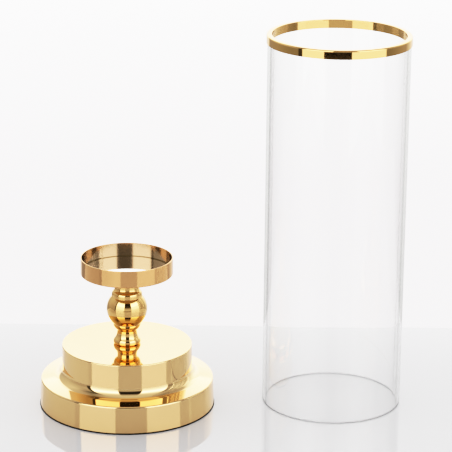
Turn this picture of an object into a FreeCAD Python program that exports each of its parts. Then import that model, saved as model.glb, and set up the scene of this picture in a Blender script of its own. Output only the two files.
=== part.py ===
"""Hurricane candle lantern: a stepped gold stand with a candle cup, and a clear glass chimney.

Millimetres, +Z up. The origin is the centre of the stand's underside, on the surface that it
stands on. The chimney is taken off the stand and stands beside it, at +X.
"""
import FreeCAD, Part
import math
import os
import Sketcher

from FreeCAD import Vector

# Driving dimensions in millimetres: name, value, meaning.
DRIVING = [
    ("pad_radius", 81.8, "felt pad under the stand"),
    ("pad_height", 1.5, "felt pad thickness"),
    ("foot_radius", 81.4, "lower tier, outer radius at the bottom"),
    ("ledge_radius", 80.5, "lower tier, outer radius at the ledge"),
    ("ledge_height", 26.3, "level of the ledge's outer edge"),
    ("ledge_fall", 3.15, "drop of the ledge from the upper tier's wall to its edge"),
    ("spigot_radius", 60.6, "upper tier, outer radius"),
    ("spigot_height", 59.0, "top of the upper tier"),
    ("sheet", 1.2, "thickness of the spun shell"),
    ("ledge_round", 1.6, "round on the lower tier's upper edge"),
    ("spigot_round", 0.9, "round on the upper tier's upper edge"),
    ("step_cove", 9.0, "cove where the upper tier meets the ledge"),
    ("board_height", 3.0, "thickness of the closing board"),
    ("board_gap", 0.5, "board edge to the shell's inside"),
    ("rod_radius", 3.9, "tie rod"),
    ("rod_bore", 4.3, "bores that the tie rod passes through"),
    ("rod_bottom", 41.0, "lower end of the tie rod"),
    ("rod_top", 121.5, "upper end of the tie rod"),
    ("spreader_radius", 30.0, "spreader plate inside the upper tier"),
    ("spreader_height", 3.0, "spreader plate thickness"),
    ("washer_radius", 8.0, "flat washer"),
    ("washer_height", 1.6, "flat washer thickness"),
    ("spring_radius", 6.8, "split lock washer"),
    ("spring_height", 1.8, "split lock washer thickness"),
    ("spring_turn", 346.0, "degrees that the split lock washer runs round"),
    ("nut_flats", 13.0, "nut, across the flats"),
    ("nut_height", 6.5, "nut thickness"),
    ("foot_bead_radius", 12.6, "widest part of the column's foot"),
    ("foot_seat_radius", 12.2, "foot where it meets the upper tier"),
    ("foot_bead_rise", 2.0, "foot bead's widest level above the upper tier"),
    ("foot_bead_arc", 4.6, "arc of the foot bead above its widest level"),
    ("foot_crease_radius", 10.5, "top of the foot bead"),
    ("foot_crease_rise", 5.7, "top of the foot bead above the upper tier"),
    ("foot_cove_arc", 3.4, "arc from the foot bead up to the waist"),
    ("waist_radius", 9.2, "waist of the column's foot"),
    ("waist_low_rise", 8.6, "lower end of the waist above the upper tier"),
    ("waist_top_drop", 7.6, "upper end of the waist below the ball's seat"),
    ("waist_cove_arc", 2.4, "arc from the waist up to the bowl"),
    ("bowl_crease_radius", 10.0, "lower end of the bowl under the ball"),
    ("bowl_crease_drop", 6.0, "lower end of the bowl below the ball's seat"),
    ("bowl_radius", 12.8, "rim of the bowl under the ball"),
    ("bowl_arc", 5.8, "arc of the bowl under the ball"),
    ("bowl_lip", 1.2, "straight lip at the bowl's rim"),
    ("ball_radius", 18.9, "ball of the column"),
    ("ball_level", 93.2, "centre of the ball"),
    ("ball_seat_drop", 13.8, "lower flat of the ball below its centre"),
    ("ball_seat_rise", 12.3, "upper flat of the ball above its centre"),
    ("cap_radius", 14.2, "ring of the cap above the ball"),
    ("cap_lip", 1.7, "straight lip at the cap's ring"),
    ("cap_ring_arc", 4.4, "arc of the cap's ring above its lip"),
    ("cap_crease_radius", 12.8, "top of the cap's ring"),
    ("cap_crease_rise", 4.2, "top of the cap's ring above the ball"),
    ("cap_cove_arc", 3.4, "arc from the cap's ring up to the neck"),
    ("neck_radius", 11.2, "neck under the cup"),
    ("neck_low_rise", 7.2, "lower end of the neck above the ball"),
    ("neck_flare_drop", 5.5, "flare of the neck below the cup"),
    ("neck_flare_radius", 14.8, "neck where it meets the cup"),
    ("neck_flare_arc", 4.6, "arc of the neck's flare"),
    ("neck_flare_lip", 1.0, "straight lip at the flare"),
    ("cup_radius", 42.7, "candle cup, outer radius"),
    ("cup_bottom", 127.2, "underside of the candle cup"),
    ("cup_rim", 143.1, "rim of the candle cup"),
    ("cup_wall", 1.0, "wall of the candle cup"),
    ("cup_floor", 1.2, "floor of the candle cup"),
    ("cup_edge_round", 0.9, "round on the cup's lower edge"),
    ("cup_lip_round", 0.35, "rounds on the cup's rim"),
    ("tape_height", 0.4, "mounting tape under the mirror disc"),
    ("tape_inset", 3.0, "mounting tape edge inside the mirror's edge"),
    ("mirror_height", 1.4, "mirror disc thickness"),
    ("mirror_seat_radius", 41.2, "recess in the cup's floor that the mirror disc lies in"),
    ("mirror_gap", 0.3, "mirror disc edge to its recess"),
    ("mirror_bevel", 0.3, "bevel on the mirror disc's edge"),
    ("boss_radius", 7.0, "threaded boss under the cup"),
    ("boss_length", 18.0, "threaded boss length"),
    ("boss_thread", 4.0, "thread of the boss"),
    ("boss_thread_depth", 14.0, "depth of the thread in the boss"),
    ("boss_gap", 0.3, "boss to the cap's counterbore"),
    ("glass_radius", 65.0, "glass tube, outer radius"),
    ("glass_wall", 3.0, "glass tube wall"),
    ("glass_height", 349.4, "glass tube length"),
    ("glass_polish", 0.8, "fire-polished rounds at the glass tube's ends"),
    ("band_radius", 66.0, "rim band, outer radius"),
    ("band_leg", 0.8, "thickness of the rim band's two legs"),
    ("band_gap", 0.2, "rim band's legs to the glass"),
    ("band_bottom", 343.6, "lower edge of the rim band"),
    ("band_top", 351.6, "upper face of the rim band"),
    ("band_web", 1.5, "thickness of the rim band's top"),
    ("band_outer_round", 1.4, "round on the band's outer upper edge"),
    ("band_inner_round", 0.6, "round on the band's inner upper edge"),
    ("seal_inset", 0.2, "sealing bead inside the glass wall's faces"),
    ("chimney_x", 192.0, "chimney axis, right of the stand's axis"),
    ("chimney_y", 15.0, "chimney axis, behind the stand's axis"),
]

UP = Vector(0, 0, 1)
START, END = 1, 2
ORIGIN = -1
X_AXIS, Y_AXIS = -1, -2
EDGE_MATCH = 1e-3


class Size:
    """A length that carries its value and the sheet expression that gives it."""

    def __init__(self, value, text):
        self.value = value
        self.text = text

    def __add__(self, other):
        return Size(self.value + other.value, f"({self.text} + {other.text})")

    def __sub__(self, other):
        return Size(self.value - other.value, f"({self.text} - {other.text})")

    def times(self, factor):
        return Size(self.value * factor, f"({self.text} * {factor})")

    def leg(self, other):
        """The other leg of a right triangle whose hypotenuse is this length."""
        value = math.sqrt(self.value ** 2 - other.value ** 2)
        return Size(value, f"sqrt({self.text} ^ 2 - {other.text} ^ 2)")


doc = FreeCAD.newDocument("hurricane_lantern")
sheet = doc.addObject("Spreadsheet::Sheet", "Sizes")
size = {}
for row, (name, value, meaning) in enumerate(DRIVING, start=1):
    sheet.set(f"A{row}", meaning)
    sheet.set(f"B{row}", str(value))
    sheet.setAlias(f"B{row}", name)
    size[name] = Size(value, f"Sizes.{name}")
doc.recompute()

ZERO = Size(0.0, "0")
nodes = []


def new_body(label):
    """A node of the object: one PartDesign body, named as its file is."""
    body = doc.addObject("PartDesign::Body", label)
    body.Label = label
    nodes.append(body)
    return body


def new_sketch(body, name, role):
    """A sketch on one of the body's own origin planes, such as XZ_Plane."""
    sketch = body.newObject("Sketcher::SketchObject", name)
    plane = next(item for item in body.Origin.OriginFeatures if item.Role == role)
    sketch.AttachmentSupport = [(plane, "")]
    sketch.MapMode = "FlatFace"
    return sketch


def bound(sketch, kind, *place_and_length):
    """Add a dimension whose last value is a Size, and bind it to the sheet."""
    *place, length = place_and_length
    index = sketch.addConstraint(Sketcher.Constraint(kind, *place, length.value))
    sketch.setExpression(f"Constraints[{index}]", length.text)


def pin_point(sketch, geometry, point, radius, height):
    """Fix one sketch point at a radius from the Z axis and a height above the origin."""
    places = ((radius, "DistanceX", Y_AXIS), (height, "DistanceY", X_AXIS))
    for length, kind, axis in places:
        if length is ZERO:
            sketch.addConstraint(Sketcher.Constraint("PointOnObject", geometry, point, axis))
        else:
            bound(sketch, kind, ORIGIN, 1, geometry, point, length)


def arc_between(start, end, radius, hollow):
    """The shorter arc of that radius from start to end.

    Outlines run anticlockwise, so a swelling arc is anticlockwise and a hollow one clockwise.
    It also returns which end of the arc geometry lies at the start of the stretch.
    """
    chord = end - start
    middle = (start + end) * 0.5
    across = Vector(-chord.y, chord.x, 0).normalize()
    reach = math.sqrt(radius ** 2 - (chord.Length / 2) ** 2)
    centre = middle - across * reach if hollow else middle + across * reach
    first, last = (end, start) if hollow else (start, end)
    angles = [math.atan2(point.y - centre.y, point.x - centre.x) for point in (first, last)]
    if angles[1] < angles[0]:
        angles[1] += 2 * math.pi
    arc = Part.ArcOfCircle(Part.Circle(centre, UP, radius), angles[0], angles[1])
    return arc, (END, START) if hollow else (START, END)


def draw_outline(sketch, outline):
    """Draw a closed outline of (radius, height) points in order, anticlockwise.

    A third item is the radius of the arc that runs from that point to the next, and a fourth,
    "hollow", makes the arc a hollow one.
    """
    spots = [Vector(item[0].value, item[1].value, 0) for item in outline]
    ends = []
    for index, item in enumerate(outline):
        start, end = spots[index], spots[(index + 1) % len(spots)]
        if len(item) == 2:
            geometry = sketch.addGeometry(Part.LineSegment(start, end))
            ends.append((geometry, START, END))
        else:
            arc, order = arc_between(start, end, item[2].value, "hollow" in item)
            geometry = sketch.addGeometry(arc)
            ends.append((geometry, *order))
    for index, item in enumerate(outline):
        geometry, first, _ = ends[index]
        before, _, last = ends[index - 1]
        sketch.addConstraint(Sketcher.Constraint("Coincident", before, last, geometry, first))
        pin_point(sketch, geometry, first, item[0], item[1])
        if len(item) > 2:
            bound(sketch, "Radius", geometry, item[2])


def edges_at(feature, ring):
    """Names of the feature's circular edges of one radius at one height."""
    radius, height = ring
    found = []
    for index, edge in enumerate(feature.Shape.Edges, start=1):
        if not isinstance(edge.Curve, Part.Circle):
            continue
        same_radius = abs(edge.Curve.Radius - radius.value) < EDGE_MATCH
        same_height = abs(edge.Curve.Center.z - height.value) < EDGE_MATCH
        if same_radius and same_height:
            found.append(f"Edge{index}")
    if not found:
        raise ValueError(f"no edge at radius {radius.value}, height {height.value}")
    return found


def round_edges(body, rings, radius):
    """Fillet the circular edges that the (radius, height) rings name."""
    doc.recompute()
    base = body.Tip
    names = [name for ring in rings for name in edges_at(base, ring)]
    fillet = body.newObject("PartDesign::Fillet", f"{body.Label}_round")
    fillet.Base = (base, names)
    fillet.setExpression("Radius", radius.text)
    fillet.Radius = radius.value


def turned(label, outline, rounds=(), turn=None):
    """A body turned about Z from its outline; rounds are (rings, radius) pairs."""
    body = new_body(label)
    sketch = new_sketch(body, f"{label}_outline", "XZ_Plane")
    draw_outline(sketch, outline)
    spin = body.newObject("PartDesign::Revolution", f"{label}_turned")
    spin.Profile = sketch
    spin.ReferenceAxis = (sketch, ["V_Axis"])
    spin.Angle = 360
    if turn is not None:
        spin.setExpression("Angle", turn.text)
    for rings, radius in rounds:
        round_edges(body, rings, radius)
    return body


def disc(label, bottom, height, radius, bore=None, rounds=()):
    """A flat disc or, with a bore, a flat ring."""
    top = bottom + height
    inside = ZERO if bore is None else bore
    outline = [(inside, bottom), (radius, bottom), (radius, top), (inside, top)]
    return turned(label, outline, rounds)


def at_chimney(body):
    """Stand a body of the chimney on the chimney's own axis."""
    body.setExpression("Placement.Base.x", size["chimney_x"].text)
    body.setExpression("Placement.Base.y", size["chimney_y"].text)


# --- the stand's base ---------------------------------------------------------------------

def make_base_shell():
    """The spun shell: lower tier, sloping ledge, cove and upper tier in one sheet."""
    wall = size["sheet"]
    rim_level = size["pad_height"]
    ledge = size["ledge_height"]
    root = ledge + size["ledge_fall"]
    top = size["spigot_height"]
    foot, edge, spigot = size["foot_radius"], size["ledge_radius"], size["spigot_radius"]
    outline = [
        (foot, rim_level),
        (edge, ledge),
        (spigot, root),
        (spigot, top),
        (size["rod_bore"], top),
        (size["rod_bore"], top - wall),
        (spigot - wall, top - wall),
        (spigot - wall, root - wall),
        (edge - wall, ledge - wall),
        (foot - wall, rim_level),
    ]
    rounds = [
        ([(spigot, root)], size["step_cove"]),
        ([(spigot - wall, root - wall)], size["step_cove"] + wall),
        ([(edge, ledge)], size["ledge_round"]),
        ([(spigot, top)], size["spigot_round"]),
    ]
    turned("base_shell", outline, rounds)


def make_base_closure():
    """Board that closes the base, and the felt pad under it."""
    board_radius = size["foot_radius"] - size["sheet"] - size["board_gap"]
    disc("felt_pad", ZERO, size["pad_height"], size["pad_radius"])
    disc("base_board", size["pad_height"], size["board_height"], board_radius)


# --- the tie rod and what it clamps -------------------------------------------------------

def make_tie_rod():
    """Threaded rod that clamps the column between the cup and the base."""
    disc("tie_rod", size["rod_bottom"], size["rod_top"] - size["rod_bottom"], size["rod_radius"])


def make_rod_fixings():
    """Spreader plate, flat washer, split lock washer and nut, from the top down."""
    bore = size["rod_bore"]
    plate_bottom = size["spigot_height"] - size["sheet"] - size["spreader_height"]
    disc("spreader_plate", plate_bottom, size["spreader_height"], size["spreader_radius"], bore)

    washer_bottom = plate_bottom - size["washer_height"]
    disc("flat_washer", washer_bottom, size["washer_height"], size["washer_radius"], bore)

    spring_bottom = washer_bottom - size["spring_height"]
    outer = size["spring_radius"]
    ring = [(bore, spring_bottom), (outer, spring_bottom), (outer, washer_bottom), (bore, washer_bottom)]
    turned("lock_washer", ring, turn=size["spring_turn"])

    make_nut(spring_bottom - size["nut_height"])


def make_nut(bottom):
    """Hexagon nut on the tie rod."""
    body = new_body("rod_nut")
    sketch = new_sketch(body, "rod_nut_section", "XY_Plane")
    sketch.setExpression("AttachmentOffset.Base.z", bottom.text)
    corner = size["nut_flats"].times(1 / math.sqrt(3))
    spots = [
        Vector(corner.value * math.cos(turn), corner.value * math.sin(turn), 0)
        for turn in (math.radians(60 * step) for step in range(6))
    ]
    guide = sketch.addGeometry(Part.Circle(Vector(), UP, corner.value), True)
    sketch.addConstraint(Sketcher.Constraint("Coincident", guide, 3, ORIGIN, 1))
    bound(sketch, "Radius", guide, corner)
    sides = [
        sketch.addGeometry(Part.LineSegment(spots[index], spots[(index + 1) % 6]))
        for index in range(6)
    ]
    for index, side in enumerate(sides):
        sketch.addConstraint(Sketcher.Constraint("Coincident", sides[index - 1], END, side, START))
        sketch.addConstraint(Sketcher.Constraint("PointOnObject", side, START, guide))
        if index:
            sketch.addConstraint(Sketcher.Constraint("Equal", sides[0], side))
    sketch.addConstraint(Sketcher.Constraint("Horizontal", sides[1]))
    bore = sketch.addGeometry(Part.Circle(Vector(), UP, size["boss_thread"].value))
    sketch.addConstraint(Sketcher.Constraint("Coincident", bore, 3, ORIGIN, 1))
    bound(sketch, "Radius", bore, size["boss_thread"])
    pad = body.newObject("PartDesign::Pad", "rod_nut_pad")
    pad.Profile = sketch
    pad.Length = size["nut_height"].value
    pad.setExpression("Length", size["nut_height"].text)


# --- the column ---------------------------------------------------------------------------

def make_column_foot():
    """Foot bead, waist and the bowl under the ball, turned in one piece."""
    floor = size["spigot_height"]
    seat = size["ball_level"] - size["ball_seat_drop"]
    bore = size["rod_bore"]
    crease = floor + size["foot_crease_rise"]
    waist = size["waist_radius"]
    bowl_crease = seat - size["bowl_crease_drop"]
    outline = [
        (bore, floor),
        (size["foot_seat_radius"], floor),
        (size["foot_bead_radius"], floor + size["foot_bead_rise"], size["foot_bead_arc"]),
        (size["foot_crease_radius"], crease, size["foot_cove_arc"], "hollow"),
        (waist, floor + size["waist_low_rise"]),
        (waist, seat - size["waist_top_drop"], size["waist_cove_arc"], "hollow"),
        (size["bowl_crease_radius"], bowl_crease, size["bowl_arc"]),
        (size["bowl_radius"], seat - size["bowl_lip"]),
        (size["bowl_radius"], seat),
        (bore, seat),
    ]
    turned("column_foot", outline)


def make_column_ball():
    """Ball with a flat turned on each side, where its neighbours seat."""
    level, radius = size["ball_level"], size["ball_radius"]
    drop, rise = size["ball_seat_drop"], size["ball_seat_rise"]
    bore = size["rod_bore"]
    outline = [
        (bore, level - drop),
        (radius.leg(drop), level - drop, radius),
        (radius, level, radius),
        (radius.leg(rise), level + rise),
        (bore, level + rise),
    ]
    turned("column_ball", outline)


def make_column_cap():
    """Ring above the ball, and the neck that carries the cup."""
    seat = size["ball_level"] + size["ball_seat_rise"]
    cup = size["cup_bottom"]
    boss_end = cup - size["boss_length"]
    pocket = size["boss_radius"] + size["boss_gap"]
    crease = seat + size["cap_crease_rise"]
    neck = size["neck_radius"]
    flare = size["neck_flare_radius"]
    outline = [
        (size["rod_bore"], seat),
        (size["cap_radius"], seat),
        (size["cap_radius"], seat + size["cap_lip"], size["cap_ring_arc"]),
        (size["cap_crease_radius"], crease, size["cap_cove_arc"], "hollow"),
        (neck, seat + size["neck_low_rise"]),
        (neck, cup - size["neck_flare_drop"], size["neck_flare_arc"], "hollow"),
        (flare, cup - size["neck_flare_lip"]),
        (flare, cup),
        (pocket, cup),
        (pocket, boss_end - size["boss_gap"]),
        (size["rod_bore"], boss_end - size["boss_gap"]),
    ]
    turned("column_cap", outline)


# --- the candle cup -----------------------------------------------------------------------

def make_candle_cup():
    """Shallow straight-walled cup, with a recess in its floor for the mirror disc."""
    outer, wall = size["cup_radius"], size["cup_wall"]
    bottom, rim = size["cup_bottom"], size["cup_rim"]
    floor = bottom + size["cup_floor"]
    mirror_face = floor + size["tape_height"] + size["mirror_height"]
    seat = size["mirror_seat_radius"]
    outline = [
        (ZERO, bottom),
        (outer, bottom),
        (outer, rim),
        (outer - wall, rim),
        (outer - wall, mirror_face),
        (seat, mirror_face),
        (seat, floor),
        (ZERO, floor),
    ]
    rounds = [
        ([(outer, bottom)], size["cup_edge_round"]),
        ([(outer, rim), (outer - wall, rim)], size["cup_lip_round"]),
    ]
    turned("candle_cup", outline, rounds)


def make_cup_boss():
    """Threaded boss welded under the cup, which the tie rod screws into."""
    top = size["cup_bottom"]
    bottom = top - size["boss_length"]
    thread, depth = size["boss_thread"], size["boss_thread_depth"]
    outline = [
        (thread, bottom),
        (size["boss_radius"], bottom),
        (size["boss_radius"], top),
        (ZERO, top),
        (ZERO, bottom + depth),
        (thread, bottom + depth),
    ]
    turned("cup_boss", outline)


def make_cup_mirror():
    """Mirror disc in the recess of the cup's floor, on its mounting tape."""
    radius = size["mirror_seat_radius"] - size["mirror_gap"]
    floor = size["cup_bottom"] + size["cup_floor"]
    back = floor + size["tape_height"]
    face = back + size["mirror_height"]
    bevel = size["mirror_bevel"]
    disc("mirror_tape", floor, size["tape_height"], radius - size["tape_inset"])
    outline = [
        (ZERO, back),
        (radius, back),
        (radius, face - bevel),
        (radius - bevel, face),
        (ZERO, face),
    ]
    turned("cup_mirror", outline)


# --- the chimney --------------------------------------------------------------------------

def make_glass_tube():
    """Straight glass tube, open at both ends."""
    outer = size["glass_radius"]
    inner = outer - size["glass_wall"]
    top = size["glass_height"]
    corners = [(outer, ZERO), (outer, top), (inner, ZERO), (inner, top)]
    rounds = [(corners, size["glass_polish"])]
    at_chimney(disc("glass_tube", ZERO, top, outer, inner, rounds))


def make_rim_band():
    """Channel-shaped band over the glass tube's upper edge."""
    gap, leg = size["band_gap"], size["band_leg"]
    outer, top, bottom = size["band_radius"], size["band_top"], size["band_bottom"]
    inner = size["glass_radius"] - size["glass_wall"] - gap - leg
    under_web = top - size["band_web"]
    outline = [
        (inner, bottom),
        (inner + leg, bottom),
        (inner + leg, under_web),
        (outer - leg, under_web),
        (outer - leg, bottom),
        (outer, bottom),
        (outer, top),
        (inner, top),
    ]
    rounds = [
        ([(outer, top)], size["band_outer_round"]),
        ([(inner, top)], size["band_inner_round"]),
    ]
    at_chimney(turned("rim_band", outline, rounds))


def make_band_seal():
    """Clear sealing bead between the glass tube's end and the band."""
    inset = size["seal_inset"]
    outer = size["glass_radius"] - inset
    inner = size["glass_radius"] - size["glass_wall"] + inset
    bottom = size["glass_height"]
    height = size["band_top"] - size["band_web"] - bottom
    at_chimney(disc("band_seal", bottom, height, outer, inner))


def check_document():
    """Stop if any object failed to compute or any node's shape isn't one sound solid."""
    for item in doc.Objects:
        if "Invalid" in item.State or "Error" in item.State:
            raise ValueError(f"{item.Label} did not compute: {item.State}")
    for node in nodes:
        shape = node.Shape
        if shape.isNull() or not shape.isValid() or len(shape.Solids) != 1:
            raise ValueError(f"{node.Label} is not one valid solid")


make_base_shell()
make_base_closure()
make_tie_rod()
make_rod_fixings()
make_column_foot()
make_column_ball()
make_column_cap()
make_candle_cup()
make_cup_boss()
make_cup_mirror()
make_glass_tube()
make_rim_band()
make_band_seal()

doc.recompute()
check_document()
os.makedirs("parts", exist_ok=True)
for node in nodes:
    node.Shape.exportStep(f"parts/{node.Label}.step")
    box = node.Shape.BoundBox
    print(f"{node.Label:16s} {node.Shape.Volume:12.1f} mm3  z {box.ZMin:8.2f} .. {box.ZMax:8.2f}")
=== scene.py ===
"""Looks of the hurricane candle lantern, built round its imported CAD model.

The gold pieces, the mirror disc, the felt and the glass are turned here from their profiles at a
finer grain than the CAD mesh, with exact surface normals, because their finish is a mirror. The
hidden pieces keep their CAD meshes and get materials. The scene is in metres.
"""
import math

import bpy
from mathutils import Matrix, Vector


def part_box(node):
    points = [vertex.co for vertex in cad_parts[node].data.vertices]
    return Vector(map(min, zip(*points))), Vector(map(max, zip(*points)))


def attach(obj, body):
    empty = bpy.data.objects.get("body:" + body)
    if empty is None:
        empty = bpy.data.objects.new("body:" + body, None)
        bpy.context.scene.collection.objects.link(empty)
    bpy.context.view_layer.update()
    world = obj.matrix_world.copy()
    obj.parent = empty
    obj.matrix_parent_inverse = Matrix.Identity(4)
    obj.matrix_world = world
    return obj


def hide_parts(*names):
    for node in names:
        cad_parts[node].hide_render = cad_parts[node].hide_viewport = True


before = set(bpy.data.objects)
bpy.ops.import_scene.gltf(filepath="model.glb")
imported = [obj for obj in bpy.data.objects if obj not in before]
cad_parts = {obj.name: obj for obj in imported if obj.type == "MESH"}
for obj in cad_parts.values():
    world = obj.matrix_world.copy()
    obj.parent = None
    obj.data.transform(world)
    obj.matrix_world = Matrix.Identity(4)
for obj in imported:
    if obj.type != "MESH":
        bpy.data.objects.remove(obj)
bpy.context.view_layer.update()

MM = 0.001

# Camera, as the picture was taken: place in metres, pitch and roll in radians, lens and sensor
# in millimetres, and how far it sees in metres.
CAMERA_PLACE = (0.09124, -1.96417, 0.79931)
CAMERA_PITCH = 0.3082
CAMERA_ROLL = 0.0099
CAMERA_LENS = 178.8
CAMERA_SENSOR = 36.0
CAMERA_REACH = 50.0

# Profiles are turned in this many steps a full turn, and an arc's points lie this far apart.
TURN_STEPS = 288
ARC_STEP = math.radians(4.0)
ARC_LEAST_STEPS = 3

# An edge's wear fades over this reach on a straight side that is long enough for both its ends.
WEAR_REACH = 1.2 * MM
WEAR_ROOM = 2.2 * WEAR_REACH

# Points closer than this are one point, and a point this near the turning axis is on it.
TOUCHING = 1e-7

# Sizes in millimetres: radii from the piece's axis, and levels above the table. A ROUND and the
# STEP_COVE are radii of rounded corners. Any other ARC or COVE is the radius of the arc that runs
# from the point it is named with to the next one up.
BORE = 4.3
PAD_RADIUS, PAD_TOP = 81.8, 1.5
PAD_LOW_ROUND, PAD_HIGH_ROUND = 0.4, 0.5

SHEET = 1.2
BASE_RADIUS = 81.4
LEDGE_RADIUS, LEDGE_EDGE, LEDGE_ROUND = 80.5, 26.3, 1.6
LEDGE_ROOT, STEP_COVE = 29.45, 9.0
TIER_RADIUS, TIER_TOP, TIER_ROUND = 60.6, 59.0, 0.9

FOOT_SEAT, FOOT_SEAT_ARC = 11.3, 2.2
BEAD_RADIUS, BEAD_LEVEL, BEAD_ARC = 12.7, 61.2, 5.2
BEAD_TOP_RADIUS, BEAD_TOP, BEAD_COVE = 11.6, 64.4, 9.73
WAIST_RADIUS, WAIST_LOW, WAIST_HIGH, WAIST_COVE = 9.2, 70.8, 71.8, 2.6
BOWL_LOW_RADIUS, BOWL_LOW, BOWL_ARC = 10.0, 73.6, 6.4
BOWL_RADIUS = 12.85

BALL_RADIUS, BALL_LEVEL = 18.9, 93.2
BALL_LOW, BALL_HIGH = 79.4, 105.5

RING_RADIUS, RING_LIP, RING_ARC = 14.2, 107.4, 5.0
RING_TOP_RADIUS, RING_TOP, RING_COVE = 13.2, 110.4, 6.34
NECK_RADIUS, NECK_LOW, NECK_HIGH, NECK_COVE = 11.0, 115.2, 121.7, 4.6
FLARE_RADIUS, FLARE_TOP = 14.8, 126.2
POCKET_RADIUS, POCKET_FLOOR = 7.3, 108.9

CUP_RADIUS, CUP_BOTTOM, CUP_RIM = 42.7, 127.2, 143.1
CUP_INSIDE, CUP_SHELF = 41.7, 130.2
RECESS_RADIUS, RECESS_FLOOR = 41.2, 128.4
CUP_EDGE_ROUND, CUP_LIP_ROUND = 0.9, 0.35

MIRROR_RADIUS, MIRROR_LOW, MIRROR_TOP, MIRROR_BEVEL = 40.9, 128.8, 130.2, 0.3
MIRROR_FACE = 40.0

GLASS_RADIUS, GLASS_WALL, GLASS_TOP, GLASS_ROUND = 65.0, 3.0, 349.4, 0.8
BAND_INSIDE, BAND_OUTSIDE, BAND_LEG = 61.0, 66.0, 0.8
BAND_LOW, BAND_TOP, BAND_WEB = 343.6, 351.6, 1.5
BAND_OUTER_ROUND, BAND_INNER_ROUND = 1.4, 0.6


# --- turning profiles into meshes ---------------------------------------------------------

class Run:
    """A smooth stretch of a profile: its points, their outward normals and their wear."""

    def __init__(self):
        self.points = []
        self.normals = []
        self.wear = []

    def add(self, point, normal, wear=0.0):
        self.points.append(point)
        self.normals.append(normal)
        self.wear.append(wear)


def arc_centre(start, end, radius, hollow):
    """Centre of the shorter arc between two profile points."""
    chord = end - start
    across = Vector((-chord.y, chord.x)).normalized()
    reach = math.sqrt(radius ** 2 - (chord.length / 2) ** 2)
    middle = (start + end) / 2
    return middle - across * reach if hollow else middle + across * reach


def sweep(run, centre, start, end, hollow, wear=0.0):
    """Add the points of an arc to a run."""
    first = math.atan2(start.y - centre.y, start.x - centre.x)
    last = math.atan2(end.y - centre.y, end.x - centre.x)
    turn = (last - first + math.pi) % (2 * math.pi) - math.pi
    steps = max(ARC_LEAST_STEPS, math.ceil(abs(turn) / ARC_STEP))
    radius = (start - centre).length
    for step in range(steps + 1):
        angle = first + turn * step / steps
        spoke = Vector((math.cos(angle), math.sin(angle)))
        run.add(centre + spoke * radius, -spoke if hollow else spoke, wear)


def straight(run, start, end, worn):
    """Add the points of a line to a run; its worn ends fade over a short reach."""
    line = end - start
    normal = Vector((line.y, -line.x)).normalized()
    run.add(start, normal, 1.0 if worn[0] else 0.0)
    if line.length > WEAR_ROOM:
        along = line.normalized() * WEAR_REACH
        run.add(start + along, normal)
        run.add(end - along, normal)
    run.add(end, normal, 1.0 if worn[1] else 0.0)


def corner_trim(before, corner, after, radius):
    """Where a round of that radius leaves each side of a corner, its centre and its sense."""
    into = (corner - before).normalized()
    out = (after - corner).normalized()
    turn = math.atan2(into.x * out.y - into.y * out.x, into.dot(out))
    trim = radius * math.tan(abs(turn) / 2)
    left = Vector((-into.y, into.x))
    start = corner - into * trim
    hollow = turn < 0
    return start, corner + out * trim, start + left * (-radius if hollow else radius), hollow


def trace(outline, rounds=None, closed=True):
    """The smooth runs of a profile.

    An outline item is (radius, height[, arc radius[, "hollow"]]) in millimetres, and the items
    run anticlockwise. The arc goes from that point to the next. rounds gives some corners, by
    their place in the outline, a round of a given radius; both their sides are straight.
    """
    rounds = rounds or {}
    count = len(outline)
    spots = [Vector(item[:2]) * MM for item in outline]
    corners = {}
    for index, radius in rounds.items():
        before, after = spots[index - 1], spots[(index + 1) % count]
        corners[index] = corner_trim(before, spots[index], after, radius * MM)
    runs = [Run()]
    for index in range(count if closed else count - 1):
        after = (index + 1) % count
        item = outline[index]
        start = corners[index][1] if index in corners else spots[index]
        end = corners[after][0] if after in corners else spots[after]
        if len(item) == 2:
            worn = [place in corners and not corners[place][3] for place in (index, after)]
            straight(runs[-1], start, end, worn)
        else:
            hollow = "hollow" in item
            centre = arc_centre(start, end, item[2] * MM, hollow)
            sweep(runs[-1], centre, start, end, hollow)
        if after in corners:
            first, last, centre, hollow = corners[after]
            sweep(runs[-1], centre, first, last, hollow, 0.0 if hollow else 1.0)
        else:
            runs.append(Run())
    if closed and 0 in corners and len(runs) > 1:
        runs[0] = merged(runs.pop(), runs[0])
    return [run for run in runs if len(run.points) > 1]


def merged(first, second):
    """Two runs joined end to end."""
    run = Run()
    for part in (first, second):
        run.points += part.points
        run.normals += part.normals
        run.wear += part.wear
    return run


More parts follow.
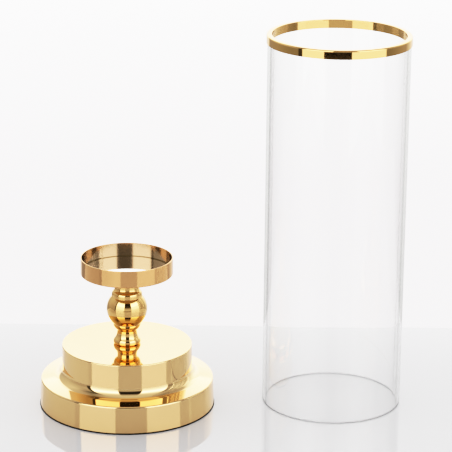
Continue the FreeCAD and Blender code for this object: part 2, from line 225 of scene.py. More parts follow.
def lathe(name, runs, centre=(0.0, 0.0)):
    """Turn a profile's runs about a vertical axis into a mesh with exact normals."""
    turns = [2 * math.pi * step / TURN_STEPS for step in range(TURN_STEPS)]
    spokes = [(math.cos(turn), math.sin(turn)) for turn in turns]
    rings = {}
    vertices = []
    wear = []

    def ring_of(point, worn):
        key = (round(point.x, 7), round(point.y, 7))
        if key not in rings:
            first = len(vertices)
            if point.x < TOUCHING:
                vertices.append((centre[0], centre[1], point.y))
                rings[key] = [first] * TURN_STEPS
            else:
                for cosine, sine in spokes:
                    across = centre[0] + point.x * cosine
                    along = centre[1] + point.x * sine
                    vertices.append((across, along, point.y))
                rings[key] = list(range(first, first + TURN_STEPS))
            wear.extend([worn] * (len(vertices) - first))
        return rings[key]

    faces = []
    normals = []
    coords = []
    length = 0.0
    for run in runs:
        for index in range(len(run.points) - 1):
            low, high = run.points[index], run.points[index + 1]
            step_length = (high - low).length
            if step_length < TOUCHING or max(low.x, high.x) < TOUCHING:
                continue
            low_ring = ring_of(low, run.wear[index])
            high_ring = ring_of(high, run.wear[index + 1])
            low_normal, high_normal = run.normals[index], run.normals[index + 1]
            for step in range(TURN_STEPS):
                after = (step + 1) % TURN_STEPS
                corners = [
                    (low_ring[step], step, step, low_normal, length),
                    (low_ring[after], after, step + 1, low_normal, length),
                    (high_ring[after], after, step + 1, high_normal, length + step_length),
                    (high_ring[step], step, step, high_normal, length + step_length),
                ]
                if corners[0][0] == corners[1][0]:
                    corners.pop(0)
                elif corners[2][0] == corners[3][0]:
                    corners.pop(3)
                faces.append([corner[0] for corner in corners])
                for _, spoke, place, normal, along in corners:
                    cosine, sine = spokes[spoke]
                    normals.append((normal.x * cosine, normal.x * sine, normal.y))
                    coords.append((place / TURN_STEPS, along))
            length += step_length

    mesh = bpy.data.meshes.new(name)
    mesh.from_pydata(vertices, [], faces)
    mesh.shade_smooth()
    layer = mesh.uv_layers.new(name="turned")
    layer.data.foreach_set("uv", [value for pair in coords for value in pair])
    attribute = mesh.attributes.new("wear", "FLOAT", "POINT")
    attribute.data.foreach_set("value", wear)
    mesh.normals_split_custom_set(normals)
    piece = bpy.data.objects.new(name, mesh)
    bpy.context.scene.collection.objects.link(piece)
    return piece


# --- node helpers -------------------------------------------------------------------------

class Graph:
    """A short way to build a node tree."""

    def __init__(self, tree):
        self.tree = tree
        tree.nodes.clear()

    def node(self, kind, inputs=None, **settings):
        made = self.tree.nodes.new(kind)
        for key, value in settings.items():
            setattr(made, key, value)
        for key, value in (inputs or {}).items():
            self.feed(made.inputs[key], value)
        return made

    def feed(self, socket, value):
        if isinstance(value, bpy.types.NodeSocket):
            self.tree.links.new(value, socket)
        else:
            socket.default_value = value

    def math(self, operation, first, second=0.0, third=0.0):
        made = self.node("ShaderNodeMath", operation=operation)
        for socket, value in zip(made.inputs, (first, second, third)):
            self.feed(socket, value)
        return made.outputs[0]

    def remap(self, value, low, high, new_low=0.0, new_high=1.0, smooth=False):
        kind = "SMOOTHSTEP" if smooth else "LINEAR"
        made = self.node("ShaderNodeMapRange", interpolation_type=kind, clamp=True)
        for key, item in zip(made.inputs, (value, low, high, new_low, new_high)):
            self.feed(key, item)
        return made.outputs[0]

    def blend(self, factor, first, second, mode="MIX"):
        made = self.node("ShaderNodeMix", data_type="RGBA", blend_type=mode)
        self.feed(made.inputs["Factor"], factor)
        self.feed(made.inputs[6], first)
        self.feed(made.inputs[7], second)
        return made.outputs[2]

    def ramp(self, factor, stops, interpolation="LINEAR"):
        made = self.node("ShaderNodeValToRGB")
        made.color_ramp.interpolation = interpolation
        elements = made.color_ramp.elements
        while len(elements) > 1:
            elements.remove(elements[-1])
        for index, (place, colour) in enumerate(stops):
            element = elements[0] if index == 0 else elements.new(place)
            element.position = place
            element.color = (*colour[:3], 1.0)
        self.feed(made.inputs["Fac"], factor)
        return made.outputs["Color"]

    def noise(self, vector, scale, detail=2.0, roughness=0.5):
        inputs = {"Vector": vector, "Scale": scale, "Detail": detail, "Roughness": roughness}
        return self.node("ShaderNodeTexNoise", inputs).outputs["Fac"]

    def stretched(self, vector, scale):
        inputs = {"Vector": vector, "Scale": scale}
        return self.node("ShaderNodeMapping", inputs).outputs[0]


def new_material(name):
    """A material with an empty graph, its shader and its output."""
    material = bpy.data.materials.new(name)
    material.use_nodes = True
    graph = Graph(material.node_tree)
    shader = graph.node("ShaderNodeBsdfPrincipled")
    output = graph.node("ShaderNodeOutputMaterial")
    graph.feed(output.inputs["Surface"], shader.outputs["BSDF"])
    return material, graph, shader


def bumped(graph, shader, height, strength, distance):
    inputs = {"Height": height, "Strength": strength, "Distance": distance}
    bump = graph.node("ShaderNodeBump", inputs)
    graph.feed(shader.inputs["Normal"], bump.outputs[0])


# --- materials ----------------------------------------------------------------------------

# Tints of the gold on the base, on the column and rim, on the cup, and inside the cup, where the
# darker tint is painted shade.
GOLD = (0.965, 0.635, 0.29)
GOLD_COLUMN = (0.95, 0.565, 0.205)
GOLD_CUP = (0.93, 0.51, 0.21)
GOLD_CUP_INSIDE_SHADE = (0.50, 0.325, 0.175)

# The cup's hollow: what lies within this radius has the darker inside tint, a painted shade, and
# this gloss.
CUP_HOLLOW = (42.0 * MM, GOLD_CUP_INSIDE_SHADE, 0.14)
HOLLOW_FADE = 0.3 * MM

# Gold's details: scale and depth of its tone drift, stretch of its scratches round and along the
# profile and their depth, scale of the specks of wear, and what wear does to tint and gloss.
DRIFT_SCALE, DRIFT_SHADE = 38.0, 0.965
SCRATCH_STRETCH, SCRATCH_DEPTH = (7.0, 9000.0, 1.0), 0.02 * MM
SPECK_SCALE = 900.0
WORN_GAIN, WORN_LIFT, WORN_ROUGH = 1.04, 0.02, 0.8


def gold_material(name, tint, gloss, brush, inside=None):
    """Gold plating: tone drift, fine scratches round the turning axis, and worn edges.

    inside, where a piece has it, is the radius of its hollow, its darker tint (a painted shade) and
    its duller gloss there.
    """
    material, graph, shader = new_material(name)
    place = graph.node("ShaderNodeTexCoord").outputs["Object"]
    turned = graph.node("ShaderNodeUVMap", uv_map="turned").outputs[0]
    wear = graph.node("ShaderNodeAttribute", attribute_name="wear").outputs["Fac"]
    cloud = graph.noise(place, DRIFT_SCALE, 3.0)
    lines = graph.noise(graph.stretched(turned, SCRATCH_STRETCH), 1.0, 3.0, 0.6)
    darker = tuple(channel * DRIFT_SHADE for channel in tint)
    tone = graph.blend(graph.remap(cloud, 0.35, 0.65), (*darker, 1.0), (*tint, 1.0))
    if inside:
        radius, shade_tint, dull_gloss = inside
        flat = {0: place, 1: (1.0, 1.0, 0.0)}
        across = graph.node("ShaderNodeVectorMath", flat, operation="MULTIPLY")
        reach = graph.node("ShaderNodeVectorMath", {0: across.outputs[0]}, operation="LENGTH")
        hollow = graph.remap(reach.outputs["Value"], radius, radius + HOLLOW_FADE, 1.0, 0.0)
        # Painted shade: inside the hollow the gold takes the darker inside tint.
        tone = graph.blend(hollow, tone, (*shade_tint, 1.0))
        gloss = graph.remap(hollow, 0.0, 1.0, gloss, dull_gloss)
    specks = graph.remap(graph.noise(place, SPECK_SCALE, 2.0), 0.4, 0.75)
    worn = graph.math("MULTIPLY", wear, specks)
    lighter = tuple(min(1.0, channel * WORN_GAIN + WORN_LIFT) for channel in tint)
    graph.feed(shader.inputs["Base Color"], graph.blend(worn, tone, (*lighter, 1.0)))
    shader.inputs["Metallic"].default_value = 1.0
    uneven = graph.math("MULTIPLY_ADD", worn, WORN_ROUGH, graph.remap(lines, 0.3, 0.7, 0.75, 1.25))
    graph.feed(shader.inputs["Roughness"], graph.math("MULTIPLY", uneven, gloss))
    bumped(graph, shader, lines, brush, SCRATCH_DEPTH)
    return material


MIRROR_SILVER = ((0.88, 0.89, 0.885, 1.0), (0.92, 0.925, 0.92, 1.0))
MIRROR_EDGE = (0.35, 0.5, 0.42, 1.0)


def mirror_material():
    """Silvered glass disc: neutral, with a faint green edge where the glass shows."""
    material, graph, shader = new_material("mirror_glass")
    place = graph.node("ShaderNodeTexCoord").outputs["Object"]
    wear = graph.node("ShaderNodeAttribute", attribute_name="wear").outputs["Fac"]
    haze = graph.remap(graph.noise(place, 60.0, 4.0), 0.35, 0.7)
    silver = graph.blend(haze, *MIRROR_SILVER)
    graph.feed(shader.inputs["Base Color"], graph.blend(wear, silver, MIRROR_EDGE))
    shader.inputs["Metallic"].default_value = 1.0
    graph.feed(shader.inputs["Roughness"], graph.remap(haze, 0.0, 1.0, 0.012, 0.03))
    scratches = graph.noise(graph.stretched(place, (90.0, 2600.0, 1.0)), 1.0, 2.0)
    bumped(graph, shader, scratches, 0.04, 0.01 * MM)
    return material


# What the glass lets through, from a face-on view (0) to a grazing one (1), with painted shade: the
# dark line painted where the view runs along the wall lies at 0.70.
GLASS_EDGE_SHADE_TONES = [
    (0.0, (1.0, 1.0, 1.0)), (0.55, (0.995, 0.995, 0.993)), (0.66, (0.95, 0.95, 0.945)),
    (0.70, (0.62, 0.62, 0.61)), (0.74, (0.90, 0.90, 0.895)), (0.9, (0.93, 0.93, 0.925)),
    (1.0, (0.80, 0.80, 0.79)),
]

# Painted shade at the tube's lower end: the grey painted there, and the levels between which it
# fades.
GLASS_FOOT_SHADE = (0.36, 0.355, 0.36, 1.0)
GLASS_FOOT_LOW, GLASS_FOOT_HIGH = 0.5 * MM, 1.3 * MM


def glass_material():
    """Clear glass with painted shade where the view runs along the wall and at its lower end, and
    faint draw lines.
    """
    material, graph, shader = new_material("clear_glass")
    turned = graph.node("ShaderNodeUVMap", uv_map="turned").outputs[0]
    facing = graph.node("ShaderNodeLayerWeight", {"Blend": 0.5}).outputs["Facing"]
    # Painted shade: the glass is darkened by view angle, most where the view runs along the wall.
    edge = graph.ramp(facing, GLASS_EDGE_SHADE_TONES)
    place = graph.node("ShaderNodeTexCoord").outputs["Object"]
    height = graph.node("ShaderNodeSeparateXYZ", {"Vector": place}).outputs["Z"]
    # Painted shade: the tube's lower end is greyed where it stands on the plate.
    foot = graph.remap(height, GLASS_FOOT_LOW, GLASS_FOOT_HIGH, 1.0, 0.0)
    graph.feed(shader.inputs["Base Color"], graph.blend(foot, edge, GLASS_FOOT_SHADE))
    shader.inputs["Transmission Weight"].default_value = 1.0
    shader.inputs["IOR"].default_value = 1.5
    shader.inputs["Specular IOR Level"].default_value = 0.55
    lines = graph.noise(graph.stretched(turned, (40.0, 1.2, 1.0)), 1.0, 2.0)
    graph.feed(shader.inputs["Roughness"], graph.remap(lines, 0.3, 0.7, 0.0, 0.01))
    bumped(graph, shader, lines, 0.05, 0.2 * MM)
    return material


def felt_material():
    """Black felt: matt, fuzzy, with short fibres."""
    material, graph, shader = new_material("black_felt")
    place = graph.node("ShaderNodeTexCoord").outputs["Object"]
    fibre = graph.noise(place, 2600.0, 4.0, 0.7)
    clump = graph.noise(place, 500.0, 3.0)
    tone = graph.ramp(graph.math("MULTIPLY", fibre, clump), [
        (0.1, (0.004, 0.004, 0.004)),
        (0.45, (0.014, 0.013, 0.013)),
    ])
    graph.feed(shader.inputs["Base Color"], tone)
    shader.inputs["Roughness"].default_value = 0.95
    shader.inputs["Specular IOR Level"].default_value = 0.15
    shader.inputs["Sheen Weight"].default_value = 0.03
    bumped(graph, shader, fibre, 0.8, 0.4 * MM)
    return material


def board_material():
    """Pressed board: brown, with short fibres and darker flecks."""
    material, graph, shader = new_material("hardboard")
    place = graph.node("ShaderNodeTexCoord").outputs["Object"]
    fibre = graph.noise(graph.stretched(place, (600.0, 1900.0, 600.0)), 1.0, 4.0, 0.65)
    tone = graph.ramp(fibre, [
        (0.3, (0.14, 0.075, 0.035)),
        (0.5, (0.27, 0.16, 0.08)),
        (0.7, (0.36, 0.23, 0.13)),
    ])
    graph.feed(shader.inputs["Base Color"], tone)
    graph.feed(shader.inputs["Roughness"], graph.remap(fibre, 0.3, 0.7, 0.7, 0.9))
    bumped(graph, shader, fibre, 0.4, 0.2 * MM)
    return material


def steel_material():
    """Bright zinc plating with a light grain."""
    material, graph, shader = new_material("zinc_steel")
    place = graph.node("ShaderNodeTexCoord").outputs["Object"]
    grain = graph.noise(graph.stretched(place, (400.0, 400.0, 2600.0)), 1.0, 3.0)
    cloud = graph.noise(place, 150.0, 3.0)
    tone = graph.blend(cloud, (0.50, 0.51, 0.53, 1.0), (0.68, 0.68, 0.67, 1.0))
    graph.feed(shader.inputs["Base Color"], tone)
    shader.inputs["Metallic"].default_value = 1.0
    graph.feed(shader.inputs["Roughness"], graph.remap(grain, 0.3, 0.7, 0.22, 0.4))
    bumped(graph, shader, grain, 0.2, 0.05 * MM)
    return material


def tape_material():
    """White foam tape with open cells at its cut edge."""
    material, graph, shader = new_material("foam_tape")
    place = graph.node("ShaderNodeTexCoord").outputs["Object"]
    foam = graph.node("ShaderNodeTexVoronoi", {"Vector": place, "Scale": 2400.0})
    cells = foam.outputs["Distance"]
    tone = graph.ramp(cells, [(0.0, (0.55, 0.55, 0.52)), (0.5, (0.82, 0.82, 0.79))])
    graph.feed(shader.inputs["Base Color"], tone)
    graph.feed(shader.inputs["Roughness"], graph.remap(cells, 0.0, 0.6, 0.7, 0.9))
    bumped(graph, shader, cells, 0.5, 0.1 * MM)
    return material


def silicone_material():
    """Clear silicone bead, slightly milky, with a hand-smoothed surface."""
    material, graph, shader = new_material("clear_silicone")
    place = graph.node("ShaderNodeTexCoord").outputs["Object"]
    wave = graph.noise(place, 220.0, 2.0)
    tone = graph.blend(wave, (0.80, 0.81, 0.81, 1.0), (0.90, 0.91, 0.91, 1.0))
    graph.feed(shader.inputs["Base Color"], tone)
    graph.feed(shader.inputs["Roughness"], graph.remap(wave, 0.3, 0.7, 0.25, 0.4))
    shader.inputs["Transmission Weight"].default_value = 0.6
    shader.inputs["IOR"].default_value = 1.41
    bumped(graph, shader, wave, 0.3, 0.2 * MM)
    return material


# --- pieces of the stand ------------------------------------------------------------------

def finished(piece, material, slot, *nodes, body="stand"):
    """Give a piece its material, hang it under its body's empty and hide the CAD nodes it replaces.
    """
    piece.data.materials.append(material)
    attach(piece, body)
    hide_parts(*nodes)
    return piece


def shell_piece(material):
    """Spun shell: lower tier, ledge, cove and upper tier."""
    inside = TIER_RADIUS - SHEET
    outline = [
        (BASE_RADIUS, PAD_TOP), (LEDGE_RADIUS, LEDGE_EDGE), (TIER_RADIUS, LEDGE_ROOT),
        (TIER_RADIUS, TIER_TOP), (BORE, TIER_TOP), (BORE, TIER_TOP - SHEET),
        (inside, TIER_TOP - SHEET), (inside, LEDGE_ROOT - SHEET),
        (LEDGE_RADIUS - SHEET, LEDGE_EDGE - SHEET), (BASE_RADIUS - SHEET, PAD_TOP),
    ]
    rounds = {1: LEDGE_ROUND, 2: STEP_COVE, 3: TIER_ROUND, 7: STEP_COVE + SHEET}
    piece = lathe("spun_shell", trace(outline, rounds))
    return finished(piece, material, "polished_gold", "base_shell")


def felt_piece(material):
    """Felt disc under the base, with a soft cut edge."""
    outline = [(0.0, 0.0), (PAD_RADIUS, 0.0), (PAD_RADIUS, PAD_TOP), (0.0, PAD_TOP)]
    piece = lathe("felt_disc", trace(outline, {1: PAD_LOW_ROUND, 2: PAD_HIGH_ROUND}))
    return finished(piece, material, "black_felt", "felt_pad")


def foot_piece(material):
    """Turned foot: bead, waist and bowl."""
    outline = [
        (BORE, TIER_TOP), (FOOT_SEAT, TIER_TOP, FOOT_SEAT_ARC), (BEAD_RADIUS, BEAD_LEVEL, BEAD_ARC),
        (BEAD_TOP_RADIUS, BEAD_TOP, BEAD_COVE, "hollow"), (WAIST_RADIUS, WAIST_LOW),
        (WAIST_RADIUS, WAIST_HIGH, WAIST_COVE, "hollow"), (BOWL_LOW_RADIUS, BOWL_LOW, BOWL_ARC),
        (BOWL_RADIUS, BALL_LOW), (BORE, BALL_LOW),
    ]
    return finished(lathe("turned_foot", trace(outline)), material, "polished_gold", "column_foot")


def ball_piece(material):
    """Ball with a flat above and below."""
    low_flat = math.sqrt(BALL_RADIUS ** 2 - (BALL_LEVEL - BALL_LOW) ** 2)
    high_flat = math.sqrt(BALL_RADIUS ** 2 - (BALL_HIGH - BALL_LEVEL) ** 2)
    outline = [
        (BORE, BALL_LOW), (low_flat, BALL_LOW, BALL_RADIUS), (BALL_RADIUS, BALL_LEVEL, BALL_RADIUS),
        (high_flat, BALL_HIGH), (BORE, BALL_HIGH),
    ]
    return finished(lathe("turned_ball", trace(outline)), material, "polished_gold", "column_ball")


def cap_piece(material):
    """Ring above the ball and the neck under the cup."""
    outline = [
        (BORE, BALL_HIGH), (RING_RADIUS, BALL_HIGH), (RING_RADIUS, RING_LIP, RING_ARC),
        (RING_TOP_RADIUS, RING_TOP, RING_COVE, "hollow"), (NECK_RADIUS, NECK_LOW),
        (NECK_RADIUS, NECK_HIGH, NECK_COVE, "hollow"), (FLARE_RADIUS, FLARE_TOP),
        (FLARE_RADIUS, CUP_BOTTOM), (POCKET_RADIUS, CUP_BOTTOM), (POCKET_RADIUS, POCKET_FLOOR),
        (BORE, POCKET_FLOOR),
    ]
    return finished(lathe("turned_cap", trace(outline)), material, "polished_gold", "column_cap")


def cup_piece(material):
    """Shallow cup, with the recess that the mirror disc lies in."""
    outline = [
        (0.0, CUP_BOTTOM), (CUP_RADIUS, CUP_BOTTOM), (CUP_RADIUS, CUP_RIM), (CUP_INSIDE, CUP_RIM),
        (CUP_INSIDE, CUP_SHELF), (RECESS_RADIUS, CUP_SHELF), (RECESS_RADIUS, RECESS_FLOOR),
        (0.0, RECESS_FLOOR),
    ]
    rounds = {1: CUP_EDGE_ROUND, 2: CUP_LIP_ROUND, 3: CUP_LIP_ROUND}
    piece = lathe("cup_pan", trace(outline, rounds))
    return finished(piece, material, "satin_gold", "candle_cup")


def mirror_piece(material):
    """Bevelled mirror disc; its edge and bevel count as worn, so they show the glass."""
    outline = [
        (0.0, MIRROR_LOW), (MIRROR_RADIUS, MIRROR_LOW), (MIRROR_RADIUS, MIRROR_TOP - MIRROR_BEVEL),
        (MIRROR_RADIUS - MIRROR_BEVEL, MIRROR_TOP), (0.0, MIRROR_TOP),
    ]
    runs = trace(outline)
    for run in runs:
        if min(point.x for point in run.points) > MIRROR_FACE * MM:
            run.wear = [1.0] * len(run.wear)
    return finished(lathe("mirror_disc", runs), material, "mirror_glass", "cup_mirror")


# --- pieces of the chimney ----------------------------------------------------------------

def chimney_centre():
    """Where the chimney's axis stands, from the middle of the CAD glass tube."""
    low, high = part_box("glass_tube")
    return (low.x + high.x) / 2, (low.y + high.y) / 2


def glass_piece(material):
    """Glass tube with fire-polished ends."""
    inside = GLASS_RADIUS - GLASS_WALL
    outline = [(GLASS_RADIUS, 0.0), (GLASS_RADIUS, GLASS_TOP), (inside, GLASS_TOP), (inside, 0.0)]
    runs = trace(outline, {index: GLASS_ROUND for index in range(len(outline))})
    piece = lathe("chimney_glass", runs, chimney_centre())
    piece.visible_shadow = False
    return finished(piece, material, "clear_glass", "glass_tube", body="chimney")


def band_piece(material):
    """Channel-shaped rim band."""
    inner, outer = BAND_INSIDE + BAND_LEG, BAND_OUTSIDE - BAND_LEG
    web = BAND_TOP - BAND_WEB
    outline = [
        (BAND_INSIDE, BAND_LOW), (inner, BAND_LOW), (inner, web), (outer, web), (outer, BAND_LOW),
        (BAND_OUTSIDE, BAND_LOW), (BAND_OUTSIDE, BAND_TOP), (BAND_INSIDE, BAND_TOP),
    ]
    rounds = {6: BAND_OUTER_ROUND, 7: BAND_INNER_ROUND}
    piece = lathe("gold_rim", trace(outline, rounds), chimney_centre())
    return finished(piece, material, "polished_gold", "rim_band", body="chimney")


def dress_inner_nodes():
    """Materials for the CAD nodes that stay."""
    steel = steel_material()
    finishes = {
        "tie_rod": steel, "spreader_plate": steel, "flat_washer": steel, "lock_washer": steel,
        "rod_nut": steel, "cup_boss": steel, "base_board": board_material(),
        "mirror_tape": tape_material(), "band_seal": silicone_material(),
    }
    for name, material in finishes.items():
        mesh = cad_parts[name].data
        mesh.materials.clear()
        mesh.materials.append(material)


# --- studio -------------------------------------------------------------------------------

# The plate that both pieces stand on: its sides, in metres, and its whites. A painted shadow greys
# it to the left: fully so at the first of two places across it, and not at all at the second.
PLATE_LEFT, PLATE_RIGHT = -0.95, 1.15
PLATE_FRONT, PLATE_BACK = -0.9, 0.208
PLATE_THICKNESS = 0.006
PLATE_WHITES = ((0.78, 0.775, 0.785, 1.0), (0.80, 0.795, 0.805, 1.0))
PLATE_SHADOW_GREY = (0.57, 0.565, 0.573, 1.0)
PLATE_SHADE = (-0.36, -0.17)


def plate_material():
    """Glossy white plate, with a painted shadow greying it towards the left."""
    material, graph, shader = new_material("studio_plate")
    place = graph.node("ShaderNodeTexCoord").outputs["Object"]
    cloud = graph.noise(place, 6.0, 2.0)
    white = graph.blend(cloud, *PLATE_WHITES)
    across = graph.node("ShaderNodeSeparateXYZ", {"Vector": place}).outputs["X"]
    # Painted shadow: the plate's white is greyed towards the left.
    shaded = graph.remap(across, PLATE_SHADE[0], PLATE_SHADE[1], 1.0, 0.0, smooth=True)
    graph.feed(shader.inputs["Base Color"], graph.blend(shaded, white, PLATE_SHADOW_GREY))
    graph.feed(shader.inputs["Roughness"], graph.remap(cloud, 0.3, 0.7, 0.025, 0.035))
    shader.inputs["IOR"].default_value = 1.5
    return material


def studio_plate():
    """The plate, whose upper face is the level that both pieces stand on."""
    corners = [(x, y, z) for z in (-PLATE_THICKNESS, 0.0) for y in (PLATE_FRONT, PLATE_BACK)
               for x in (PLATE_LEFT, PLATE_RIGHT)]
    faces = [(0, 2, 3, 1), (4, 5, 7, 6), (0, 1, 5, 4), (1, 3, 7, 5), (3, 2, 6, 7), (2, 0, 4, 6)]
    mesh = bpy.data.meshes.new("studio_plate")
    mesh.from_pydata(corners, [], faces)
    mesh.materials.append(plate_material())
    plate = bpy.data.objects.new("studio_plate", mesh)
    bpy.context.scene.collection.objects.link(plate)


# Brightness of the room up each of its panels: height above the horizon in degrees, level. Only
# reflections show them.
BACK = [(-20, 1.0), (-8, 1.6), (0, 2.1), (6, 2.6), (15, 2.7), (20, 2.45), (21.3, 2.6), (23, 3.3),
        (30, 2.9), (36, 2.2), (41, 0.7), (48, 0.45), (62, 0.35), (75, 0.55), (90, 0.7)]
LEFT_FAR = [(-20, 0.35), (-8, 0.42), (0, 0.6), (10, 0.70), (22, 0.78), (38, 0.95), (45, 0.72),
            (55, 0.5), (62, 0.3), (72, 0.55), (90, 0.7)]
LEFT_NEAR = [(-20, 0.28), (-10, 0.3), (0, 0.44), (10, 0.46), (20, 0.6), (30, 0.55), (42, 0.42),
             (49, 0.14), (57, 0.11), (62, 0.45), (72, 0.66), (90, 0.7)]
STRIP = [(-20, 0.06), (45, 0.05), (60, 0.3), (68, 0.7), (90, 0.75)]
SOFTBOX = [(-20, 1.9), (-12, 1.9), (-7, 1.6), (-2, 1.6), (5, 1.9), (10, 2.5), (15, 2.7), (19, 2.6),
           (21.5, 3.9), (24, 4.3), (35, 4.3), (39, 2.8), (45, 1.9), (50, 1.25), (60, 0.9),
           (75, 0.8), (90, 0.75)]
GAP = [(-20, 0.58), (-9, 0.58), (0, 0.68), (9, 0.70), (14, 0.46), (17, 0.25), (20, 0.08),
       (30, 0.02), (46, 0.02), (50, 0.25), (60, 0.42), (65, 0.8), (90, 0.78)]
RIGHT_NEAR = [(-20, 0.25), (0, 0.32), (10, 0.32), (20, 0.48), (30, 0.45), (40, 0.24), (46, 0.34),
              (56, 0.64), (68, 0.85), (90, 0.75)]
RIGHT_FAR = [(-20, 0.4), (-8, 0.46), (0, 0.62), (10, 0.68), (22, 0.85), (35, 0.75), (46, 0.55),
             (60, 0.33), (72, 0.65), (90, 0.7)]

# The panels from behind the object on the left round to behind it on the right: where each one
# starts, in degrees from the front, and over how many degrees it takes over from the one before.
ROOM = [
    (-180, 0, BACK), (-149, 5, LEFT_FAR), (-100, 34, LEFT_NEAR), (-70, 2, STRIP),
    (-62.5, 1.4, SOFTBOX), (-13, 1.4, GAP), (28.2, 1.4, SOFTBOX), (75.8, 1.6, RIGHT_NEAR),
    (100, 34, RIGHT_FAR), (138, 26, BACK),
]
ROOM_LOW, ROOM_HIGH = -20, 90
ROOM_TINT = (1.0, 0.993, 0.98)

# Well below the horizon the gap between the softboxes lies this many degrees further to the left,
# and the shift comes in between these two levels.
GAP_SHIFT = 11.5
GAP_SHIFT_FULL, GAP_SHIFT_START = -12.0, -9.0

# The pale room that the eye sees, between two levels in degrees.
PALE_LOW, PALE_HIGH = -20.5, -10.0
PALE_TONES = [
    (0.0, (1.66, 1.60, 1.62)), (0.4, (1.78, 1.70, 1.74)), (0.75, (2.1, 2.07, 2.08)),
    (1.0, (2.55, 2.55, 2.55)),
]

# Diffuse light from the front and from the back of the room.
FILL_FRONT = (0.35, 0.347, 0.356, 1.0)
FILL_BACK = (1.25, 1.24, 1.252, 1.0)

# A black card low in front of the chimney, for its rim: how far out it stands, over which degrees
# from the front it reaches and in how many steps, its lowest and highest edge, and its black.
CARD_REACH = 1.35
CARD_TURNS = (-26.0, 16.5)
CARD_STEPS = 12
CARD_HEIGHTS = (0.033, 0.085)
CARD_BLACK = (0.01, 0.01, 0.01, 1.0)

# The lamp behind the plate: its sides and place in metres, its tilt, and its radiance.
LAMP_LENGTH, LAMP_WIDTH = 2.0, 0.2
LAMP_PLACE = (0.1, 0.35, 0.12)
LAMP_TILT = math.radians(45.0)
LAMP_RADIANCE = 1.8

# The picture's tone: scene level and the level shown, up to the level shown as white.
TONE_CURVE = [
    (0.02, 0.013), (0.05, 0.038), (0.1, 0.085), (0.2, 0.183), (0.3, 0.283), (0.5, 0.485),
    (0.77, 0.665), (1.0, 0.775), (1.2, 0.845), (1.5, 0.90), (1.8, 0.935), (2.4, 0.975),
]
TONE_WHITE = 4.0

# Place of the curve for all channels together among the tone mapping's curves.
COMBINED = 3


def panel(graph, rise, levels):
    """Colour of one panel of the room at a given height above the horizon, in degrees."""
    reach = ROOM_HIGH - ROOM_LOW
    stops = [((degrees - ROOM_LOW) / reach, tuple(level * share for share in ROOM_TINT))
             for degrees, level in levels]
    return graph.ramp(graph.remap(rise, ROOM_LOW, ROOM_HIGH), stops)


def studio_world():
    """A plain pale room for the eye, and soft panels round the object for its reflections."""
    world = bpy.data.worlds.new("studio")
    bpy.context.scene.world = world
    world.use_nodes = True
    graph = Graph(world.node_tree)
    ray = graph.node("ShaderNodeTexCoord").outputs["Generated"]
    axes = graph.node("ShaderNodeSeparateXYZ", {"Vector": ray}).outputs
    turn = graph.math("ARCTAN2", axes["X"], graph.math("MULTIPLY", axes["Y"], -1.0))
    turn = graph.math("DEGREES", turn)
    rise = graph.math("DEGREES", graph.math("ARCSINE", axes["Z"]))

    shift = graph.remap(rise, GAP_SHIFT_FULL, GAP_SHIFT_START, GAP_SHIFT, 0.0)
    shifted = graph.math("ADD", turn, shift)
    sky = panel(graph, rise, ROOM[0][2])
    for index, (start, blur, levels) in enumerate(ROOM[1:], 1):
        beside_gap = GAP in (levels, ROOM[index - 1][2])
        edge = graph.remap(shifted if beside_gap else turn, start - blur / 2, start + blur / 2)
        sky = graph.blend(edge, sky, panel(graph, rise, levels))

    pale = graph.ramp(graph.remap(rise, PALE_LOW, PALE_HIGH), PALE_TONES)
    path = graph.node("ShaderNodeLightPath").outputs
    colour = graph.blend(graph.math("MINIMUM", path["Glossy Depth"], 1.0), pale, sky)
    fill = graph.blend(graph.remap(axes["Y"], -1.0, 1.0), FILL_FRONT, FILL_BACK)
    colour = graph.blend(graph.math("MINIMUM", path["Diffuse Depth"], 1.0), colour, fill)
    background = graph.node("ShaderNodeBackground", {"Color": colour, "Strength": 1.0})
    output = graph.node("ShaderNodeOutputWorld")
    graph.feed(output.inputs["Surface"], background.outputs[0])


def rim_card():
    """The black card that the outside of the chimney's rim reflects."""
    axis_x, axis_y = chimney_centre()
    first, last = CARD_TURNS
    corners = []
    for step in range(CARD_STEPS + 1):
        turn = math.radians(first + (last - first) * step / CARD_STEPS)
        x = axis_x + CARD_REACH * math.sin(turn)
        y = axis_y - CARD_REACH * math.cos(turn)
        corners += [(x, y, height) for height in CARD_HEIGHTS]
    faces = [(2 * step, 2 * step + 1, 2 * step + 3, 2 * step + 2) for step in range(CARD_STEPS)]
    mesh = bpy.data.meshes.new("black_card")
    mesh.from_pydata(corners, [], faces)
    material = bpy.data.materials.new("black_card")
    material.use_nodes = True
    graph = Graph(material.node_tree)
    black = graph.node("ShaderNodeEmission", {"Color": CARD_BLACK, "Strength": 1.0})
    output = graph.node("ShaderNodeOutputMaterial")
    graph.feed(output.inputs["Surface"], black.outputs[0])
    mesh.materials.append(material)
    card = bpy.data.objects.new("black_card", mesh)
    card.visible_camera = False
    card.visible_diffuse = False
    card.visible_transmission = False
    card.visible_shadow = False
    bpy.context.scene.collection.objects.link(card)


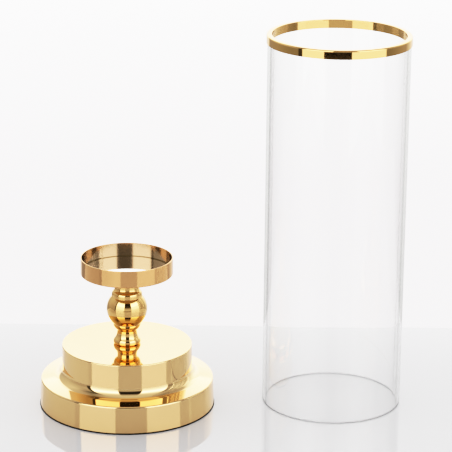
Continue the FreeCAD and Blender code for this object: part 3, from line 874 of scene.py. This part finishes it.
def back_lamp():
    """A long soft lamp behind the plate, which only lights it and shows in nothing."""
    data = bpy.data.lights.new("back_lamp", "AREA")
    data.shape = "RECTANGLE"
    data.size = LAMP_LENGTH
    data.size_y = LAMP_WIDTH
    data.energy = LAMP_RADIANCE * math.pi * LAMP_LENGTH * LAMP_WIDTH
    data.use_shadow = False
    lamp = bpy.data.objects.new("back_lamp", data)
    lamp.matrix_world = Matrix.Translation(LAMP_PLACE) @ Matrix.Rotation(-LAMP_TILT, 4, "X")
    lamp.visible_camera = False
    lamp.visible_glossy = False
    lamp.visible_transmission = False
    bpy.context.scene.collection.objects.link(lamp)


def tone():
    """Picture tone: plain display transform with a gentle curve that holds the highlights."""
    scene = bpy.context.scene
    settings = scene.view_settings
    settings.view_transform = "Standard"
    settings.look = "None"
    settings.use_curve_mapping = True
    mapping = settings.curve_mapping
    mapping.white_level = (TONE_WHITE, TONE_WHITE, TONE_WHITE)
    mapping.extend = "HORIZONTAL"
    for level, shown in TONE_CURVE:
        mapping.curves[COMBINED].points.new(level / TONE_WHITE, shown)
    mapping.update()


def camera():
    """The camera, at the angle of the picture."""
    data = bpy.data.cameras.new("camera")
    data.sensor_width = CAMERA_SENSOR
    data.lens = CAMERA_LENS
    data.clip_end = CAMERA_REACH
    eye = bpy.data.objects.new("camera", data)
    tilt = Matrix.Rotation(math.pi / 2 - CAMERA_PITCH, 4, "X")
    roll = Matrix.Rotation(CAMERA_ROLL, 4, "Z")
    eye.matrix_world = Matrix.Translation(CAMERA_PLACE) @ tilt @ roll
    bpy.context.scene.collection.objects.link(eye)
    bpy.context.scene.camera = eye


def bounces():
    """How often light may bounce: gold mirrors gold three times at most, and then goes dark."""
    cycles = bpy.context.scene.cycles
    cycles.max_bounces = 24
    cycles.glossy_bounces = 3
    cycles.transmission_bounces = 16
    cycles.transparent_max_bounces = 16
    cycles.caustics_reflective = True
    cycles.caustics_refractive = True


# --- the lantern and its studio -----------------------------------------------------------

polished = gold_material("polished_gold", GOLD, gloss=0.04, brush=0.03)
deep_gold = gold_material("deep_gold", GOLD_COLUMN, gloss=0.04, brush=0.03)
satin = gold_material("satin_gold", GOLD_CUP, gloss=0.07, brush=0.08, inside=CUP_HOLLOW)
shell_piece(polished)
felt_piece(felt_material())
foot_piece(deep_gold)
ball_piece(deep_gold)
cap_piece(deep_gold)
cup_piece(satin)
mirror_piece(mirror_material())
glass_piece(glass_material())
band_piece(deep_gold)
dress_inner_nodes()

studio_plate()
studio_world()
rim_card()
back_lamp()
tone()
camera()
bounces()
